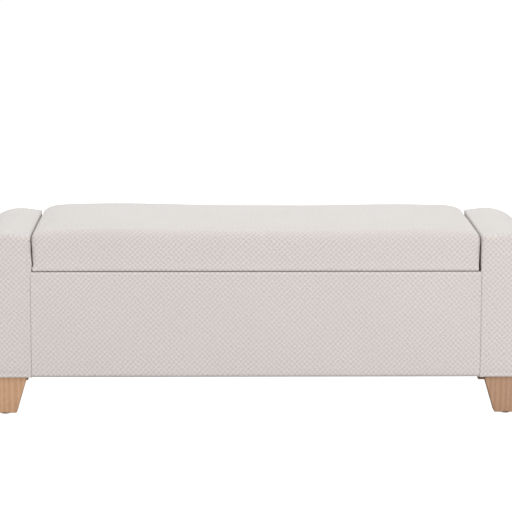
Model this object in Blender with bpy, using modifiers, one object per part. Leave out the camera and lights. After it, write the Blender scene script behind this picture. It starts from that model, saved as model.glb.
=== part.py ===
"""Storage bench: an upholstered box on four tapered feet, between two padded arms, under a lift-up lid.

Metres, +Z up. The front faces -Y, +X is to the right seen from the front, and the origin is on the
floor under the middle of the bench. The lid turns about a piano hinge along its back edge, and a
parallelogram stay at each end turns with it.
"""
import math

import bmesh
import bpy
from mathutils import Matrix, Vector

# ---------------------------------------------------------------- driving dimensions
WIDTH = 1.397
DEPTH = 0.432
LID_TOP = 0.457
ARM_TOP = 0.447
ARM_WIDTH = 0.152
CASE_BOTTOM = 0.0955

GAP = 0.0003            # between pieces that touch
BOARD = 0.012           # plywood of the case and the arms
LID_BOARD = 0.015
PAD_FRONT = 0.0077      # padding over the front boards
PAD_ARM_INNER = 0.0057
PAD_ARM_OUTER = 0.0097
LINING = 0.0008

FRONT = -DEPTH / 2
BACK = DEPTH / 2
BOARDS_FRONT = FRONT + PAD_FRONT + GAP
BOARDS_BACK = -BOARDS_FRONT
BASE_LOW = CASE_BOTTOM + 0.0011
BASE_HIGH = BASE_LOW + BOARD
BOARDS_LOW = BASE_HIGH + GAP

ARM_INNER = WIDTH / 2 - ARM_WIDTH              # inner face of the right arm
END_HIGH = ARM_INNER - GAP                     # outer face of the box's end board
END_LOW = END_HIGH - BOARD
RIM = 0.3569                                   # top edge of the box's end and back boards
REAR_FACE = 0.2085                             # back of the lid and of the fabric behind the box
REAR_BOARD_HIGH = REAR_FACE - 0.0030 - GAP
REAR_BOARD_LOW = REAR_BOARD_HIGH - BOARD
FRONT_BOARD_HIGH = BOARDS_FRONT + BOARD

HINGE_Y = 0.2128
HINGE_Z = 0.3590
LID_LOW = 0.3612                               # underside of the lid's fabric
LID_HALF = ARM_INNER - 0.003                   # half the lid's length

FOOT_TOP = CASE_BOTTOM - GAP
FOOT_LOW = 0.0033
FOOT_INNER = 0.5600                            # inner top edge of a foot, from the middle of the bench
FOOT_TOP_SIZE = (0.112, 0.050)
FOOT_LOW_SIZE = (0.058, 0.036)
FOOT_INSET = 0.012                             # foot's front face behind the front of the bench
BOLT_RADIUS = 0.004

SIDES = (("left", -1), ("right", 1))

# ---------------------------------------------------------------- an empty scene
for old in list(bpy.data.objects):
    bpy.data.objects.remove(old, do_unlink=True)

parts = bpy.data.collections.new("storage_bench")
cutters = bpy.data.collections.new("cutters")
for group in (parts, cutters):
    bpy.context.scene.collection.children.link(group)


def material(name, colour, roughness, metallic=0.0):
    """A plain surface finish."""
    made = bpy.data.materials.new(name)
    made.use_nodes = True
    shader = made.node_tree.nodes["Principled BSDF"]
    shader.inputs["Base Color"].default_value = (*colour, 1.0)
    shader.inputs["Roughness"].default_value = roughness
    shader.inputs["Metallic"].default_value = metallic
    return made


CREAM = material("cream_fabric", (0.62, 0.59, 0.56), 0.9)
LINER = material("black_lining", (0.03, 0.03, 0.03), 0.9)
PLYWOOD = material("plywood", (0.60, 0.45, 0.29), 0.7)
OAK = material("light_oak", (0.50, 0.33, 0.20), 0.5)
ZINC = material("zinc_steel", (0.62, 0.62, 0.63), 0.35, 1.0)
DAMPER = material("black_plastic", (0.03, 0.03, 0.03), 0.45)
PAD = material("black_rubber", (0.02, 0.02, 0.02), 0.8)


# ---------------------------------------------------------------- ways of making a piece
def make_object(bm, name, finish, origin=(0, 0, 0), parent=None, group=parts):
    """Give world-space geometry a named object whose origin is at the given point."""
    bmesh.ops.recalc_face_normals(bm, faces=bm.faces)
    bmesh.ops.translate(bm, verts=bm.verts, vec=-Vector(origin))
    mesh = bpy.data.meshes.new(name)
    bm.to_mesh(mesh)
    bm.free()
    mesh.materials.append(finish)
    made = bpy.data.objects.new(name, mesh)
    group.objects.link(made)
    made.location = Vector(origin)
    if parent:
        made.parent = parent
        made.location -= world_place(parent)
    return made


def world_place(empty):
    """Where an empty stands, from its own place and its parents'."""
    place = Vector(empty.location)
    while empty.parent:
        empty = empty.parent
        place += empty.location
    return place


def axis_empty(name, at, parent=None):
    """An empty on a joint's axis, for the pieces that turn about it."""
    empty = bpy.data.objects.new(name, None)
    empty.empty_display_size = 0.03
    parts.objects.link(empty)
    empty.parent = parent
    empty.location = Vector(at) - (world_place(parent) if parent else Vector())
    return empty


def box_mesh(low, high):
    """A box between two corners."""
    low, high = Vector(low), Vector(high)
    size, middle = high - low, (high + low) / 2
    bm = bmesh.new()
    bmesh.ops.create_cube(bm, size=1, matrix=Matrix.Translation(middle) @ Matrix.Diagonal((*size, 1)))
    return bm


def side_box_mesh(side, low, high):
    """A box given for the right side, turned over to the left when side is -1."""
    xs = sorted((side * low[0], side * high[0]))
    return box_mesh((xs[0], low[1], low[2]), (xs[1], high[1], high[2]))


def outline_mesh(points, axis, low, high):
    """A flat outline drawn across an axis and extruded along it; points are the other two coordinates."""
    bm = bmesh.new()
    corners = []
    for u, v in points:
        place = [u, v]
        place.insert(axis, low)
        corners.append(bm.verts.new(place))
    bm.faces.new(corners)
    grown = bmesh.ops.extrude_face_region(bm, geom=bm.faces[:])
    shift = Vector((0, 0, 0))
    shift[axis] = high - low
    moved = [item for item in grown["geom"] if isinstance(item, bmesh.types.BMVert)]
    bmesh.ops.translate(bm, verts=moved, vec=shift)
    return bm


def rod_mesh(at, axis, low, high, radius, sides=12):
    """A round bar along an axis, between two coordinates on it; at gives the other two."""
    turn = {0: Matrix.Rotation(math.pi / 2, 4, "Y"), 1: Matrix.Rotation(math.pi / 2, 4, "X"), 2: Matrix()}
    middle = list(at)
    middle.insert(axis, (low + high) / 2)
    bm = bmesh.new()
    bmesh.ops.create_cone(
        bm, cap_ends=True, segments=sides, radius1=radius, radius2=radius, depth=abs(high - low),
        matrix=Matrix.Translation(middle) @ turn[axis],
    )
    return bm


def add_mesh(target, source):
    """Put a second bmesh's geometry into the first, as a loose solid."""
    carrier = bpy.data.meshes.new("carrier")
    source.to_mesh(carrier)
    source.free()
    target.from_mesh(carrier)
    bpy.data.meshes.remove(carrier)


def with_boolean(piece, bm, operation):
    """Cut a bmesh out of a piece, or join it on."""
    name = f"{piece.name}_{operation.lower()}_{len(piece.modifiers)}"
    tool = make_object(bm, name, piece.data.materials[0], group=cutters)
    tool.hide_render = True
    tool.display_type = "WIRE"
    change = piece.modifiers.new(name, "BOOLEAN")
    change.operation = operation
    change.object = tool
    return piece


def cut(piece, bm):
    return with_boolean(piece, bm, "DIFFERENCE")


def join(piece, bm):
    return with_boolean(piece, bm, "UNION")


def board(name, low, high, finish=PLYWOOD, parent=None, origin=None):
    """A flat panel between two corners, with its origin at its middle unless it turns."""
    middle = (Vector(low) + Vector(high)) / 2
    return make_object(box_mesh(low, high), name, finish, origin or middle, parent)


# ---------------------------------------------------------------- the box under the lid
base_board = board(
    "base_board",
    (-WIDTH / 2 + PAD_ARM_OUTER + GAP, BOARDS_FRONT, BASE_LOW),
    (WIDTH / 2 - PAD_ARM_OUTER - GAP, REAR_BOARD_HIGH, BASE_HIGH),
)
for side_name, side in SIDES:
    xs = sorted((side * END_LOW, side * END_HIGH))
    board(
        f"{side_name}_end_board",
        (xs[0], BOARDS_FRONT, BOARDS_LOW),
        (xs[1], REAR_BOARD_HIGH, RIM),
    )
INSIDE = END_LOW - GAP                         # half the length between the end boards
FRONT_RIM = 0.3572                             # top of the fabric over the front board
FLAP = 0.0037                                  # fabric and wadding turned over the front board
board(
    "front_board",
    (-INSIDE, BOARDS_FRONT, BOARDS_LOW),
    (INSIDE, FRONT_BOARD_HIGH, FRONT_RIM - FLAP - GAP),
)
board("back_board", (-INSIDE, REAR_BOARD_LOW, BOARDS_LOW), (INSIDE, REAR_BOARD_HIGH, RIM))
RAIL = (0.020, 0.030)                          # solid batten, depth and height
board(
    "front_rail",
    (-INSIDE, FRONT_BOARD_HIGH + GAP, FRONT_RIM - FLAP - GAP - RAIL[1]),
    (INSIDE, FRONT_BOARD_HIGH + GAP + RAIL[0], FRONT_RIM - FLAP - GAP),
)
board(
    "hinge_rail",
    (-INSIDE, REAR_BOARD_LOW - GAP - RAIL[0], RIM - RAIL[1]),
    (INSIDE, REAR_BOARD_LOW - GAP, RIM),
)


# ---------------------------------------------------------------- linings
def open_box_mesh(low, high):
    """A box without its lid, as one open sheet."""
    bm = box_mesh(low, high)
    top = max(bm.faces, key=lambda face: face.calc_center_median().z)
    bmesh.ops.delete(bm, geom=[top], context="FACES")
    return bm


LINING_TOP = FRONT_RIM - FLAP - RAIL[1] - 2 * GAP - 0.001
lining = make_object(
    open_box_mesh(
        (-INSIDE, FRONT_BOARD_HIGH + GAP, BOARDS_LOW),
        (INSIDE, REAR_BOARD_LOW - GAP, LINING_TOP),
    ),
    "storage_lining",
    LINER,
)
wall = lining.modifiers.new("thickness", "SOLIDIFY")
wall.thickness = LINING
wall.offset = -1
wall.use_even_offset = True

DUST_EDGE = 0.020
dust_cover = board(
    "dust_cover",
    (-WIDTH / 2 + DUST_EDGE, FRONT + DUST_EDGE, CASE_BOTTOM),
    (WIDTH / 2 - DUST_EDGE, REAR_BOARD_HIGH - DUST_EDGE / 2, CASE_BOTTOM + LINING),
    LINER,
)


# ---------------------------------------------------------------- arms
ARM_CROWN = 0.058                              # from the arm's inner face to its highest line
ARM_OUTER_DROP = 0.077                         # how far down the outer side the round top reaches
ARM_INNER_DROP = 0.022
ARM_FRAME_TOP = 0.390
FRAME_LOW = ARM_INNER + PAD_ARM_INNER + GAP    # the arm frame's inner and outer faces
FRAME_HIGH = WIDTH / 2 - PAD_ARM_OUTER - GAP
ARM_ROUND_STEPS = 7


def arm_outline():
    """The arm seen from the front: straight sides and a top of two quarter ellipses."""
    inner, crown, outer = ARM_INNER, ARM_INNER + ARM_CROWN, WIDTH / 2
    points = [(inner, CASE_BOTTOM)]
    for step in range(ARM_ROUND_STEPS + 1):
        turn = math.pi / 2 * step / ARM_ROUND_STEPS
        points.append((
            crown - ARM_CROWN * math.cos(turn),
            ARM_TOP - ARM_INNER_DROP + ARM_INNER_DROP * math.sin(turn),
        ))
    for step in range(1, ARM_ROUND_STEPS + 1):
        turn = math.pi / 2 * step / ARM_ROUND_STEPS
        points.append((
            crown + (outer - crown) * math.sin(turn),
            ARM_TOP - ARM_OUTER_DROP + ARM_OUTER_DROP * math.cos(turn),
        ))
    points.append((outer, CASE_BOTTOM))
    return points


ARM_EDGE_ROUND = 0.008


def arm_cover_mesh(side):
    """The arm's padded skin before its pocket is cut, with its top front and back edges rounded."""
    outline = [(side * x, z) for x, z in arm_outline()]
    bm = outline_mesh(outline, 1, FRONT, BACK)
    rims = [
        edge for edge in bm.edges
        if abs(edge.verts[0].co.y - edge.verts[1].co.y) < GAP
        and min(vert.co.z for vert in edge.verts) > ARM_FRAME_TOP - ARM_OUTER_DROP / 2
    ]
    bmesh.ops.bevel(
        bm, geom=rims, offset=ARM_EDGE_ROUND, segments=2, profile=0.5, affect="EDGES", clamp_overlap=True,
    )
    return bm


def arm_board(side_name, side, part, low, high):
    xs = sorted((side * low[0], side * high[0]))
    board(f"{side_name}_arm_{part}", (xs[0], *low[1:]), (xs[1], *high[1:]))


for side_name, side in SIDES:
    cover = make_object(
        arm_cover_mesh(side),
        f"{side_name}_arm_cover",
        CREAM,
        (side * (ARM_INNER + ARM_WIDTH / 2), 0, CASE_BOTTOM),
    )
    cut(cover, side_box_mesh(
        side,
        (FRAME_LOW - GAP, BOARDS_FRONT - GAP, 0),
        (FRAME_HIGH + GAP, BOARDS_BACK + GAP, ARM_FRAME_TOP + GAP),
    ))
    cut(cover, side_box_mesh(
        side,
        (ARM_INNER - BOARD, BOARDS_FRONT - GAP, 0),
        (FRAME_LOW + BOARD, REAR_BOARD_HIGH + GAP, BOARDS_LOW),
    ))
    posts_high = ARM_FRAME_TOP - BOARD - GAP
    arm_board(
        side_name, side, "inner_board",
        (FRAME_LOW, BOARDS_FRONT, BOARDS_LOW), (FRAME_LOW + BOARD, BOARDS_BACK, posts_high),
    )
    arm_board(
        side_name, side, "outer_board",
        (FRAME_HIGH - BOARD, BOARDS_FRONT, BOARDS_LOW), (FRAME_HIGH, BOARDS_BACK, posts_high),
    )
    between = (FRAME_LOW + BOARD + GAP, FRAME_HIGH - BOARD - GAP)
    arm_board(
        side_name, side, "front_board",
        (between[0], BOARDS_FRONT, BOARDS_LOW), (between[1], FRONT_BOARD_HIGH, posts_high),
    )
    arm_board(
        side_name, side, "back_board",
        (between[0], -FRONT_BOARD_HIGH, BOARDS_LOW), (between[1], BOARDS_BACK, posts_high),
    )
    arm_board(
        side_name, side, "top_board",
        (FRAME_LOW, BOARDS_FRONT, ARM_FRAME_TOP - BOARD), (FRAME_HIGH, BOARDS_BACK, ARM_FRAME_TOP),
    )

# ---------------------------------------------------------------- fabric on the front and back of the box
PANEL_HALF = ARM_INNER - 0.0005
front_profile = [
    (FRONT, CASE_BOTTOM),
    (BOARDS_FRONT - GAP, CASE_BOTTOM),
    (BOARDS_FRONT - GAP, FRONT_RIM - FLAP),
    (FRONT_BOARD_HIGH, FRONT_RIM - FLAP),
    (FRONT_BOARD_HIGH, FRONT_RIM),
    (FRONT + 0.003, FRONT_RIM),
    (FRONT, FRONT_RIM - 0.003),
]
front_cover = make_object(
    outline_mesh(front_profile, 0, -PANEL_HALF, PANEL_HALF), "front_cover", CREAM, (0, FRONT, CASE_BOTTOM),
)
for side_name, side in SIDES:
    # the end boards stand between the turned-over fabric and the arms
    cut(front_cover, side_box_mesh(
        side,
        (END_LOW - 2 * GAP, BOARDS_FRONT - GAP, FRONT_RIM - 2 * FLAP),
        (ARM_INNER + BOARD, BOARDS_FRONT + 2 * BOARD, FRONT_RIM + FLAP),
    ))
board(
    "back_cover",
    (-PANEL_HALF, REAR_BOARD_HIGH + GAP, CASE_BOTTOM),
    (PANEL_HALF, REAR_FACE, RIM - 0.0004),
    CREAM,
)

# ---------------------------------------------------------------- feet
BOLT_LOW = 0.058
BOLT_HIGH = BASE_HIGH + 0.0070
FLANGE_RADIUS = 0.011
FLANGE = 0.0015
GLIDE_RADIUS = 0.011


def foot_mesh(middle):
    """A block that narrows evenly towards the floor, with its long edges eased."""
    low = (middle[0] - FOOT_TOP_SIZE[0] / 2, middle[1] - FOOT_TOP_SIZE[1] / 2, FOOT_LOW)
    high = (middle[0] + FOOT_TOP_SIZE[0] / 2, middle[1] + FOOT_TOP_SIZE[1] / 2, FOOT_TOP)
    bm = box_mesh(low, high)
    for vert in bm.verts:
        if vert.co.z < (FOOT_LOW + FOOT_TOP) / 2:
            for axis in (0, 1):
                taper = FOOT_LOW_SIZE[axis] / FOOT_TOP_SIZE[axis]
                vert.co[axis] = middle[axis] + (vert.co[axis] - middle[axis]) * taper
    eased = [edge for edge in bm.edges if min(vert.co.z for vert in edge.verts) < FOOT_TOP - GAP]
    bmesh.ops.bevel(bm, geom=eased, offset=0.0015, segments=1, profile=0.5, affect="EDGES")
    return bm


for side_name, side in SIDES:
    for end_name, end in (("front", -1), ("back", 1)):
        middle_y = end * (DEPTH / 2 - FOOT_INSET - FOOT_TOP_SIZE[1] / 2)
        middle = (side * (FOOT_INNER + FOOT_TOP_SIZE[0] / 2), middle_y)
        corner = f"{end_name}_{side_name}"
        foot = make_object(foot_mesh(middle), f"{corner}_foot", OAK, (*middle, FOOT_TOP))
        cut(foot, rod_mesh(middle, 2, BOLT_LOW - 0.001, FOOT_TOP + BOARD, BOLT_RADIUS + GAP))
        make_object(
            rod_mesh(middle, 2, 0, FOOT_LOW - GAP, GLIDE_RADIUS, 16), f"{corner}_glide", PAD, (*middle, 0),
        )
        shank = rod_mesh(middle, 2, BOLT_LOW, BOLT_HIGH, BOLT_RADIUS)
        bolt = make_object(shank, f"{corner}_foot_bolt", ZINC, (*middle, BASE_HIGH))
        join(bolt, rod_mesh(middle, 2, BASE_HIGH + GAP, BASE_HIGH + GAP + FLANGE, FLANGE_RADIUS))
        cut(base_board, rod_mesh(middle, 2, 0, BOARDS_LOW + BOARD, BOLT_RADIUS + GAP))
        cut(dust_cover, rod_mesh(middle, 2, 0, BOARDS_LOW, BOLT_RADIUS + 2 * GAP))

# ---------------------------------------------------------------- lid
lid_axis = axis_empty("lid_axis", (0, HINGE_Y, HINGE_Z))
HINGE = (0, HINGE_Y, HINGE_Z)
LID_BOARD_LOW = LID_LOW + LINING + GAP
LID_WRAP = 0.0057                              # fabric and wadding round the lid's board
LID_ROUND = 0.016
ROUND_SEGMENTS = 4


def lid_cushion_mesh():
    """A long pad with round corners and round top edges."""
    bm = box_mesh((-LID_HALF, FRONT, LID_LOW), (LID_HALF, REAR_FACE, LID_TOP))
    soft = [edge for edge in bm.edges if max(vert.co.z for vert in edge.verts) > LID_TOP - GAP]
    bmesh.ops.bevel(
        bm, geom=soft, offset=LID_ROUND, segments=ROUND_SEGMENTS, profile=0.5, affect="EDGES",
    )
    return bm


lid_cushion = make_object(lid_cushion_mesh(), "lid_cushion", CREAM, HINGE, lid_axis)
cut(lid_cushion, box_mesh(
    (-LID_HALF + LID_WRAP, FRONT + LID_WRAP, 0),
    (LID_HALF - LID_WRAP, REAR_FACE - LID_WRAP, LID_BOARD_LOW + LID_BOARD + GAP),
))
lid_board = board(
    "lid_board",
    (-LID_HALF + LID_WRAP + GAP, FRONT + LID_WRAP + GAP, LID_BOARD_LOW),
    (LID_HALF - LID_WRAP - GAP, REAR_FACE - LID_WRAP - GAP, LID_BOARD_LOW + LID_BOARD),
    PLYWOOD, lid_axis, HINGE,
)
LINING_EDGE = 0.022
board(
    "lid_lining",
    (-LID_HALF + LINING_EDGE, FRONT + LINING_EDGE, LID_LOW),
    (LID_HALF - LINING_EDGE, REAR_FACE - LINING_EDGE, LID_LOW + LINING),
    LINER, lid_axis, HINGE,
)
BUMPER_RADIUS = 0.006
for side_name, side in SIDES:
    make_object(
        rod_mesh(
            (side * 0.505, FRONT + 0.0137), 2,
            FRONT_RIM + 2 * GAP, LID_BOARD_LOW - GAP, BUMPER_RADIUS,
        ),
        f"{side_name}_lid_bumper", PAD, HINGE, lid_axis,
    )

# ---------------------------------------------------------------- piano hinge
HINGE_HALF = 0.480
KNUCKLES = 25
KNUCKLE_RADIUS = 0.0032
KNUCKLE_HOLE = 0.00175
HINGE_PIN = 0.0015
LEAF = 0.0012
LEAF_WIDTH = 0.0298
LEAF_OFFSET = 0.0006                           # a leaf's near face above or below the axis
ROUND_SIDES = 10


def knuckles(first):
    """Every second length of the hinge's barrel, as lengths along X."""
    pitch = 2 * HINGE_HALF / KNUCKLES
    for index in range(first, KNUCKLES, 2):
        low = -HINGE_HALF + index * pitch
        yield low + GAP, low + pitch - GAP


def hinge_leaf(name, first, above, parent):
    """One leaf of the hinge with its share of the barrel's knuckles."""
    z = sorted((HINGE_Z + above * LEAF_OFFSET, HINGE_Z + above * (LEAF_OFFSET + LEAF)))
    clear = KNUCKLE_RADIUS + 2 * GAP
    bm = box_mesh(
        (-HINGE_HALF, HINGE_Y - LEAF_WIDTH, z[0]),
        (HINGE_HALF, HINGE_Y - clear, z[1]),
    )
    leaf = make_object(bm, name, ZINC, HINGE, parent)
    tongues = bmesh.new()
    barrel = bmesh.new()
    for low, high in knuckles(first):
        add_mesh(tongues, box_mesh(
            (low, HINGE_Y - clear - LEAF, z[0]),
            (high, HINGE_Y - (KNUCKLE_RADIUS + KNUCKLE_HOLE) / 2, z[1]),
        ))
        add_mesh(barrel, rod_mesh((HINGE_Y, HINGE_Z), 0, low, high, KNUCKLE_RADIUS, ROUND_SIDES))
    join(leaf, tongues)
    join(leaf, barrel)
    cut(leaf, rod_mesh(
        (HINGE_Y, HINGE_Z), 0, -HINGE_HALF - BOARD, HINGE_HALF + BOARD, KNUCKLE_HOLE, ROUND_SIDES,
    ))
    return leaf


hinge_leaf("hinge_lower_leaf", 0, -1, None)
hinge_leaf("hinge_upper_leaf", 1, 1, lid_axis)
make_object(
    rod_mesh((HINGE_Y, HINGE_Z), 0, -HINGE_HALF, HINGE_HALF, HINGE_PIN, ROUND_SIDES),
    "hinge_pin", ZINC, HINGE,
)

# ---------------------------------------------------------------- lid stays
# Each stay is a parallelogram: the hinge axis, the base pivot, the elbow and the lid pivot.
LID_PIVOT = Vector((-0.115, -0.0165))          # from the hinge axis, as (y, z)
BASE_PIVOT = Vector((-0.062, -0.072))
ELBOW = LID_PIVOT + BASE_PIVOT
STAY_PLATE = 0.0020
STAY_BAR = 0.0025
BAR_HALF = 0.008
STUD = 0.004
EYE = STUD + 0.0003
HEAD_RADIUS = 0.0065
HEAD = 0.0015
DAMPER_RADIUS = 0.018
DAMPER_DEPTH = 0.010
PLATE_OUTER = INSIDE - LINING - 0.0004         # the plate lies on the lining of the end board
BAR_OUTER = PLATE_OUTER - STAY_PLATE - 0.0005
LINK_OUTER = BAR_OUTER - STAY_BAR - 0.0005
HEAD_OUTER = LINK_OUTER - STAY_BAR - 0.0005
END_STEPS = 6


def at_hinge(point):
    """A place in the side view given from the hinge axis."""
    return (HINGE_Y + point[0], HINGE_Z + point[1])


def bar_outline(start, end):
    """A flat bar with round ends, in the side view."""
    run = (end - start).normalized()
    across = Vector((-run.y, run.x))
    points = []
    for centre, sign in ((end, 1), (start, -1)):
        for step in range(END_STEPS + 1):
            turn = math.pi * step / END_STEPS
            offset = across * -math.cos(turn) + run * math.sin(turn)
            points.append(at_hinge(centre + sign * BAR_HALF * offset))
    return points


def across(side, low, high):
    """A stretch of X given for the right end, in rising order at either end."""
    return sorted((side * low, side * high))


def rod_in_x(side, point, low, high, radius, sides=12):
    return rod_mesh(at_hinge(point), 0, *across(side, low, high), radius, sides)


for side_name, side in SIDES:
    base_at = (side * PLATE_OUTER, *at_hinge(BASE_PIVOT))
    lid_at = (side * PLATE_OUTER, *at_hinge(LID_PIVOT))
    lower_axis = axis_empty(f"{side_name}_lower_arm_axis", base_at)
    upper_axis = axis_empty(f"{side_name}_upper_arm_axis", lid_at, lid_axis)

    # plate on the end board, with the pivot stud and the tab that stops the arm
    plate_low = at_hinge(BASE_PIVOT + Vector((-0.022, -0.030)))
    plate_high = at_hinge(BASE_PIVOT + Vector((0.020, 0.046)))
    bracket = make_object(
        side_box_mesh(
            side,
            (PLATE_OUTER - STAY_PLATE, *plate_low),
            (PLATE_OUTER, *plate_high),
        ),
        f"{side_name}_stay_base_bracket", ZINC, base_at,
    )
    stud_end = BAR_OUTER - STAY_BAR - 0.0045
    join(bracket, rod_in_x(side, BASE_PIVOT, stud_end, PLATE_OUTER - STAY_PLATE / 2, STUD))
    tab_low = at_hinge(BASE_PIVOT + Vector((0.0032, 0.030)))
    tab_high = at_hinge(BASE_PIVOT + Vector((0.0072, 0.044)))
    join(bracket, side_box_mesh(
        side,
        (BAR_OUTER - STAY_BAR, *tab_low),
        (PLATE_OUTER - STAY_PLATE / 2, *tab_high),
    ))

    # soft-close damper on the end of the stud
    damper_outer = BAR_OUTER - STAY_BAR - 0.0005
    damper = make_object(
        rod_in_x(side, BASE_PIVOT, damper_outer - DAMPER_DEPTH, damper_outer, DAMPER_RADIUS, 20),
        f"{side_name}_stay_damper", DAMPER, base_at,
    )
    cut(damper, rod_in_x(side, BASE_PIVOT, stud_end - 0.0005, damper_outer + BOARD, EYE))

    # arm on the base pivot; it carries the elbow's rivet
    lower = make_object(
        outline_mesh(
            bar_outline(BASE_PIVOT, ELBOW), 0, *across(side, BAR_OUTER - STAY_BAR, BAR_OUTER),
        ),
        f"{side_name}_stay_lower_arm", ZINC, base_at, lower_axis,
    )
    cut(lower, rod_in_x(side, BASE_PIVOT, HEAD_OUTER - BOARD, PLATE_OUTER, EYE))
    join(lower, rod_in_x(side, ELBOW, HEAD_OUTER - HEAD, BAR_OUTER - STAY_BAR / 2, STUD))
    join(lower, rod_in_x(side, ELBOW, HEAD_OUTER - HEAD, HEAD_OUTER, HEAD_RADIUS))

    # arm between the elbow and the lid
    upper = make_object(
        outline_mesh(
            bar_outline(LID_PIVOT, ELBOW), 0, *across(side, LINK_OUTER - STAY_BAR, LINK_OUTER),
        ),
        f"{side_name}_stay_upper_arm", ZINC, lid_at, upper_axis,
    )
    for pivot in (LID_PIVOT, ELBOW):
        cut(upper, rod_in_x(side, pivot, HEAD_OUTER - BOARD, PLATE_OUTER, EYE))

    # angle on the underside of the lid, with its own rivet
    flange_z = (LID_LOW - GAP - STAY_PLATE, LID_LOW - GAP)
    ear_low = (HINGE_Y + LID_PIVOT.x - 0.009, HINGE_Z + LID_PIVOT.y - 0.009)
    ear_high = (HINGE_Y + LID_PIVOT.x + 0.009, flange_z[1])
    angle = make_object(
        side_box_mesh(side, (BAR_OUTER - STAY_BAR, *ear_low), (BAR_OUTER, *ear_high)),
        f"{side_name}_stay_lid_bracket", ZINC, HINGE, lid_axis,
    )
    join(angle, side_box_mesh(
        side,
        (BAR_OUTER - 0.022, HINGE_Y + LID_PIVOT.x - 0.028, flange_z[0]),
        (BAR_OUTER - STAY_BAR / 2, HINGE_Y + LID_PIVOT.x + 0.028, flange_z[1]),
    ))
    join(angle, rod_in_x(side, LID_PIVOT, HEAD_OUTER - HEAD, BAR_OUTER - STAY_BAR / 2, STUD))
    join(angle, rod_in_x(side, LID_PIVOT, HEAD_OUTER - HEAD, HEAD_OUTER, HEAD_RADIUS))
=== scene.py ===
import math

import bmesh
import bpy
from mathutils import Matrix, Vector, noise


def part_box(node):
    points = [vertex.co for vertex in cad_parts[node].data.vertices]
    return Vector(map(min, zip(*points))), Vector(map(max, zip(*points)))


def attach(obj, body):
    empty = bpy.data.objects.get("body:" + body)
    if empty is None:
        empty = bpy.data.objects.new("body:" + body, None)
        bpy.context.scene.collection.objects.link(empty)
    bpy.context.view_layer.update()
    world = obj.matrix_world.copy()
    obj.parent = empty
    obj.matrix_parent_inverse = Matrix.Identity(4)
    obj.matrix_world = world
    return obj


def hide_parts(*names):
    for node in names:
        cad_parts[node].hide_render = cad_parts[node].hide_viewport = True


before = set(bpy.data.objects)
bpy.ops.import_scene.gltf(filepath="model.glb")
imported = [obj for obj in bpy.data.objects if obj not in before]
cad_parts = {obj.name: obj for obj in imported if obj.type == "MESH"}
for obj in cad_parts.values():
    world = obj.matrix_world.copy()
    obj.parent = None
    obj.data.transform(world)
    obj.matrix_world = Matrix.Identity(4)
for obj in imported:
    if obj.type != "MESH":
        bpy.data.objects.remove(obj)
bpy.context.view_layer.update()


# ---------------------------------------------------------------- room
# The bench stands on a pale floor in a white room, under broad soft lights: a large
# one overhead, one high in front to the right, and a weaker one to the left.
def link(name, data):
    """Adds a new object to the scene."""
    thing = bpy.data.objects.new(name, data)
    bpy.context.scene.collection.objects.link(thing)
    return thing


def put(tree, kind, sockets=(), **fields):
    """Adds a node. Sockets are its inputs, by name or number, as values or as links."""
    made = tree.nodes.new(kind)
    for field, value in fields.items():
        setattr(made, field, value)
    for socket, value in dict(sockets).items():
        if isinstance(value, bpy.types.NodeSocket):
            tree.links.new(value, made.inputs[socket])
        else:
            made.inputs[socket].default_value = value
    return made


def finish(name, shader):
    """Starts a material, with the constant values of its shader. Returns it with its shader."""
    made = bpy.data.materials.new(name)
    made.use_nodes = True
    surface = made.node_tree.nodes["Principled BSDF"]
    for socket, value in shader.items():
        surface.inputs[socket].default_value = value
    return made, made.node_tree, surface


def feed(tree, surface, **sources):
    """Wires textures into a shader's inputs."""
    for socket, source in sources.items():
        tree.links.new(source, surface.inputs[socket.replace("_", " ").title()])


FLOOR_REACH = 9.0
floor_finish, tree, surface = finish("pale floor", {"Roughness": 0.9})
surface.inputs["Emission Color"].default_value = (1.0, 1.0, 1.0, 1.0)
tint = put(tree, "ShaderNodeTexNoise", {"Scale": 1.5, "Detail": 3.0})
shade = put(tree, "ShaderNodeMapRange", {0: tint.outputs["Fac"], 3: 0.56, 4: 0.60})
paint = put(tree, "ShaderNodeCombineColor", {n: shade.outputs[0] for n in range(3)})
feed(tree, surface, base_color=paint.outputs[0])
seen = put(tree, "ShaderNodeLightPath")
glow = put(tree, "ShaderNodeMath", {0: seen.outputs["Is Camera Ray"], 1: 1.0}, operation="MULTIPLY")
tree.links.new(glow.outputs[0], surface.inputs["Emission Strength"])
shape = bmesh.new()
bmesh.ops.create_grid(shape, x_segments=2, y_segments=2, size=FLOOR_REACH)
floor_mesh = bpy.data.meshes.new("floor")
shape.to_mesh(floor_mesh)
shape.free()
floor_mesh.materials.append(floor_finish)
link("floor", floor_mesh)

SKY_LIGHT, SKY_SEEN = 0.86, 1.05
room = bpy.data.worlds.new("white room")
room.use_nodes = True
bpy.context.scene.world = room
air = room.node_tree
seen = put(air, "ShaderNodeLightPath")
level = put(air, "ShaderNodeMapRange", {0: seen.outputs["Is Camera Ray"], 3: SKY_LIGHT, 4: SKY_SEEN})
air.nodes["Background"].inputs["Color"].default_value = (0.98, 0.99, 1.0, 1.0)
air.links.new(level.outputs[0], air.nodes["Background"].inputs["Strength"])


def soft_light(name, place, aim, width, power, colour):
    """A square soft box at a place, turned towards a point."""
    lamp = bpy.data.lights.new(name, "AREA")
    lamp.shape = "SQUARE"
    lamp.size = width
    lamp.energy = power
    lamp.color = colour
    box = link(name, lamp)
    box.location = place
    box.rotation_euler = (Vector(aim) - Vector(place)).to_track_quat("-Z", "Y").to_euler()


soft_light("overhead light", (0.3, 1.7, 2.5), (0, 0, 0.3), 3.0, 22.0, (0.80, 0.985, 1.0))
soft_light("front light", (1.3, -3.4, 1.5), (0, 0, 0.3), 2.4, 35.0, (1.0, 0.95, 0.925))
soft_light("side light", (-3.2, -2.4, 1.6), (0, 0, 0.3), 2.0, 8.0, (1.0, 0.97, 0.96))

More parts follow.
